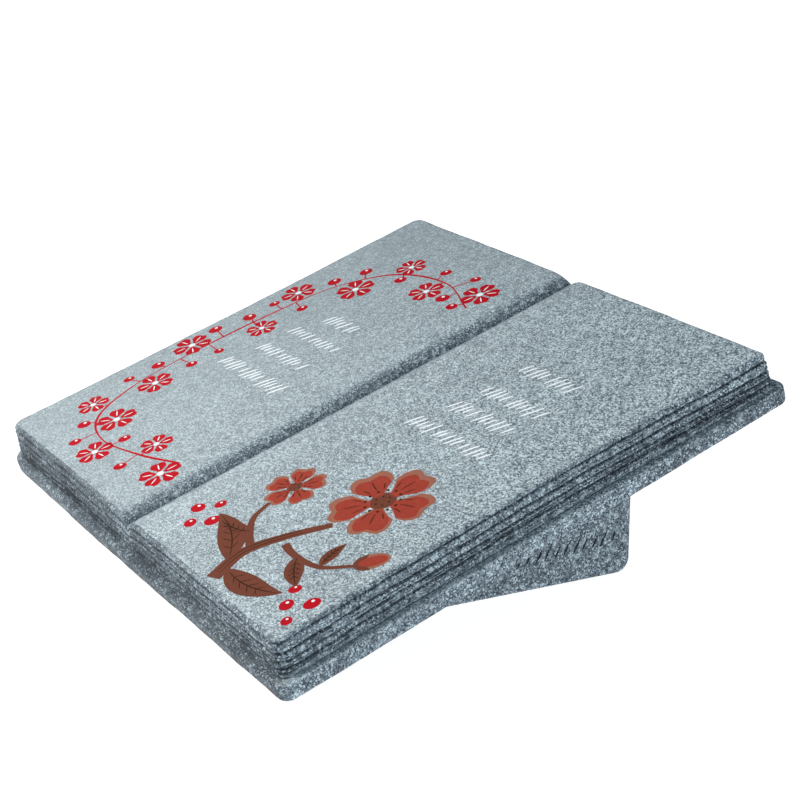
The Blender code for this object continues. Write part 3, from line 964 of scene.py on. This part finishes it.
class Shader:
    """One material. node() adds a node, with its settings first and then its sockets' values or links."""

    def __init__(self, name, **constants):
        self.material = bpy.data.materials.new(name)
        self.material.use_nodes = True
        self.tree = self.material.node_tree
        self.surface = self.tree.nodes["Principled BSDF"]
        for socket, value in constants.items():
            self.surface.inputs[socket.replace("_", " ")].default_value = value

    def node(self, kind, settings=None, sockets=None, output=0):
        node = self.tree.nodes.new("ShaderNode" + kind)
        for name, value in (settings or {}).items():
            setattr(node, name, value)
        for name, value in (sockets or {}).items():
            self.plug(node.inputs[name], value)
        return Value(self, node.outputs[output])

    def plug(self, socket, value):
        if isinstance(value, Value):
            self.tree.links.new(value.socket, socket)
        else:
            socket.default_value = value

    def millimetres(self):
        """Object coordinates in millimetres."""
        place = self.node("TexCoord", output="Object")
        return self.node("VectorMath", {"operation": "SCALE"}, {0: place, "Scale": 1.0 / MM})

    def noise(self, place, size, detail=2.0, rough=0.5):
        """Noise whose lumps are about size millimetres across."""
        sockets = {"Vector": place, "Scale": 1.0 / size, "Detail": detail, "Roughness": rough}
        return self.node("TexNoise", {}, sockets)

    def mix(self, factor, low, high):
        """Colour low where factor is 0 and high where it is 1."""
        return self.node("Mix", {"data_type": "RGBA"}, {0: factor, 6: low, 7: high}, 2)

    def cells(self, place, size, output):
        """Cells about size millimetres across: the distance to their points, or a colour for each."""
        sockets = {"Vector": place, "Scale": 1.0 / size, "Randomness": 1.0}
        return self.node("TexVoronoi", {"feature": "F1"}, sockets, output)

    def chips(self, place, size):
        """A random number for each cell."""
        return self.node("SeparateXYZ", {}, {0: self.cells(place, size, "Color")})

    def shade(self, colour, factor):
        """The colour times a number."""
        return self.node("VectorMath", {"operation": "SCALE"}, {0: colour, "Scale": factor})

    def finish(self, colour, roughness, height=None, lift=0.0, strength=1.0):
        """Plugs in colour and roughness, and a bump as high as lift metres where a height is given."""
        self.plug(self.surface.inputs["Base Color"], colour)
        self.plug(self.surface.inputs["Roughness"], roughness)
        if height is not None:
            bump = self.node("Bump", {}, {"Strength": strength, "Distance": lift, "Height": height})
            self.plug(self.surface.inputs["Normal"], bump)
        return self.material


SIDES_DARK = (0.029, 0.039, 0.053, 1)
SIDES_PALE = (0.245, 0.316, 0.370, 1)
PAGES_DARK = (0.070, 0.107, 0.134, 1)
PAGES_PALE = (0.500, 0.592, 0.630, 1)
SHADOW_COLOUR = (0.012, 0.018, 0.026, 1)
CHIP_COLOUR = (0.59, 0.73, 0.80, 1)
BLOB_COLOUR = (0.54, 0.67, 0.74, 1)


def stone_resin():
    """Blue-grey resin with a granite effect: a fine dark and pale grain, pale flecks in two sizes, dark cuts.

    The open pages are paler and evener, and so, as painted light, is the ledge in part. Below tone 0 the
    colour turns towards the shadow's, as painted shade, and in the foot's row of cuts. vivid, the grain's
    contrast, grows over the object to its right and back, and is lower on the pages.
    """
    shader = Shader("stone_resin", IOR=1.5, Specular_IOR_Level=0.2)
    place = shader.millimetres()
    tone = shader.node("Attribute", {"attribute_name": "tone"}, output="Fac")
    page = shader.node("Attribute", {"attribute_name": "page"}, output="Fac")
    across = shader.node("SeparateXYZ", {}, {0: place}, "X")
    along = shader.node("SeparateXYZ", {}, {0: place}, "Y")
    share = across.ramp(-100.0, 120.0) * (0.45 + along.ramp(-90.0, 70.0) * 0.42)
    vivid = 0.62 - page * 0.26 + share * (0.54 + page * 0.46)
    grain = shader.noise(place, 0.42, 1.0)
    clump = shader.noise(place, 3.4)
    patch = shader.noise(place, 9.0)
    cloud = shader.noise(place, 26.0)
    chip = shader.chips(place, 0.44)
    blob_cells = shader.cells(place, 3.1, "Distance")

    fine = (chip * 0.66 + grain.ramp(0.36, 0.64) * 0.34 + (clump - 0.5) * 0.3).ramp(0.18, 0.82)
    fine = 0.5 + (fine - 0.5) * vivid
    sides = shader.mix(fine, SIDES_DARK, SIDES_PALE)
    pages = shader.mix(fine, PAGES_DARK, PAGES_PALE)
    colour = shader.mix(page, sides, pages)
    # Painted shade: below tone 0 the colour is mixed towards the shadow colour, in patches.
    sunk = 0.0 - tone
    shadow = sunk.ramp(0.0, 1.0) * (0.46 + patch * 0.5) + sunk.ramp(1.2, 2.0) * 0.3
    colour = shader.mix(shadow, colour, SHADOW_COLOUR)
    bare = 1.0 - shadow * 0.7
    pale = (chip + (clump - 0.5) * 0.5).ramp(0.84, 0.91) * vivid
    colour = shader.mix(pale * bare * (0.66 + page * 0.06), colour, CHIP_COLOUR)
    blob = (blob_cells + (grain - 0.5) * 1.2).ramp(0.24, 0.12)
    colour = shader.mix(blob * bare * (0.62 - page * 0.30), colour, BLOB_COLOUR)
    shaded = shader.shade(colour, 0.86 + cloud * 0.28)
    return shader.finish(shaded, 0.56 + grain * 0.12, grain * 0.6 + pale * 0.4, 0.00005, 0.5)


def ink(name, colour, pale):
    """Printed ink: its colour, faintly mottled, with the stone's flecks just showing through."""
    shader = Shader(name, Specular_IOR_Level=0.03)
    place = shader.millimetres()
    mottle = shader.noise(place, 3.2, 3.0, 0.6)
    fleck = shader.noise(place, 0.8, 2.0, 0.55)
    shown = shader.mix(fleck.ramp(0.56, 0.72) * 0.18, colour, pale)
    shown = shader.shade(shown, 0.88 + mottle * 0.24)
    return shader.finish(shown, 0.52 + fleck * 0.12, fleck, 0.00003, 0.4)


def floor_finish():
    """Pale matt studio floor, very faintly clouded."""
    shader = Shader("studio_floor", Emission_Color=(1.0, 1.0, 1.0, 1.0), Emission_Strength=0.90)
    cloud = shader.noise(shader.millimetres(), 180.0, 2.0, 0.5)
    colour = shader.mix(cloud.ramp(0.3, 0.7), (0.34, 0.342, 0.345, 1), (0.37, 0.37, 0.37, 1))
    return shader.finish(colour, 0.75 + cloud * 0.1)


# ---- floor, light, camera
FLOOR_STEPS = 96
FLOOR_PROFILE = ((0.4, 0.0), (1.5, 0.0), (4.0, 0.0), (6.0, 0.4), (7.2, 1.6), (7.6, 3.2))


def studio_floor():
    """A round floor that rises gently into a backdrop far behind, from (radius, height) in metres."""
    turns = np.linspace(0.0, 2.0 * math.pi, FLOOR_STEPS + 1)[:-1]
    rings = []
    for radius, height in FLOOR_PROFILE:
        heights = np.full(FLOOR_STEPS, height)
        rings.append(np.column_stack([radius * np.cos(turns), radius * np.sin(turns), heights]))
    faces = [list(range(FLOOR_STEPS))] + band_faces(len(rings), FLOOR_STEPS)[:, ::-1].tolist()
    return mesh_piece("studio_floor", np.vstack(rings), faces)


def area_light(name, place, target, size, power, colour=(1.0, 1.0, 1.0), spread=180.0):
    """A round lamp aimed at a target: size in metres, power in watts, spread in degrees."""
    lamp = bpy.data.objects.new(name, bpy.data.lights.new(name, "AREA"))
    bpy.context.scene.collection.objects.link(lamp)
    lamp.data.shape = "DISK"
    lamp.data.size = size
    lamp.data.energy = power
    lamp.data.color = colour
    lamp.data.spread = math.radians(spread)
    lamp.location = place
    aim = Vector(target) - Vector(place)
    lamp.rotation_euler = aim.to_track_quat("-Z", "Y").to_euler()


def studio(camera_place, camera_turn, lens):
    """A key from the front left, a panel from the left, a low card from the right, pale air, a camera."""
    key_place, key_target = (-0.142, -0.316, 0.359), (0.011, -0.156, 0.02)
    area_light("key_softbox", key_place, key_target, 0.28, 0.855, (1.0, 0.93, 0.87), 109.0)
    area_light("side_panel", (-0.80, -0.02, 0.36), (0.0, 0.0, 0.03), 0.55, 1.08)
    area_light("low_card", (0.59, -0.13, 0.15), (0.0, 0.0, 0.05), 0.4, 0.70, (0.91, 0.96, 1.0))
    world = bpy.data.worlds.new("studio_surround")
    world.use_nodes = True
    air = world.node_tree.nodes["Background"].inputs
    air["Color"].default_value = (0.73, 0.88, 1.0, 1.0)
    air["Strength"].default_value = 0.27
    scene = bpy.context.scene
    scene.world = world
    scene.view_settings.view_transform = "Standard"
    camera = bpy.data.objects.new("camera", bpy.data.cameras.new("camera"))
    scene.collection.objects.link(camera)
    camera.location = camera_place
    camera.rotation_euler = [math.radians(angle) for angle in camera_turn]
    camera.data.lens = lens
    camera.data.sensor_width = 36.0
    camera.data.clip_start = 0.01
    scene.camera = camera


CAMERA_PLACE = (0.48115, -0.29488, 0.2229)
CAMERA_TURN = (72.4311, -3.1391, 58.5622)
CAMERA_LENS = 83.477

plaque = casting()
plaque.data.materials.clear()
plaque.data.materials.append(stone_resin())
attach(plaque, "root")
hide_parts("book_plaque")

crimson_film = Film("crimson_print", 0.020)
rim_film = Film("bloom_rim_print", 0.020)
bloom_film = Film("bloom_print", 0.034)
brown_film = Film("brown_print", 0.026)
dark_film = Film("dark_line_print", 0.048)
white_film = Film("white_print", 0.040)
for seed, row in enumerate(DASH_ROWS):
    dash_row(white_film, *row, seed)
left_page(crimson_film, white_film)
right_page(crimson_film, white_film, bloom_film, rim_film, brown_film, dark_film)
crimson_film.piece(ink("crimson_ink", (0.41, 0.002, 0.010, 1), (0.52, 0.025, 0.045, 1)), "red_print")
bloom_film.piece(ink("bloom_ink", (0.30, 0.042, 0.026, 1), (0.42, 0.12, 0.09, 1)), "bloom_print")
rim_film.piece(ink("rim_ink", (0.29, 0.112, 0.074, 1), (0.42, 0.22, 0.17, 1)), "bloom_print")
brown_film.piece(ink("brown_ink", (0.140, 0.042, 0.024, 1), (0.22, 0.10, 0.08, 1)), "brown_print")
dark_film.piece(ink("dark_line_ink", (0.028, 0.012, 0.004, 1), (0.08, 0.05, 0.03, 1)), "brown_print")
white_film.piece(ink("white_ink", (0.80, 0.86, 0.89, 1), (0.70, 0.77, 0.81, 1)), "white_print")

floor = studio_floor()
floor.data.materials.append(floor_finish())
studio(CAMERA_PLACE, CAMERA_TURN, CAMERA_LENS)
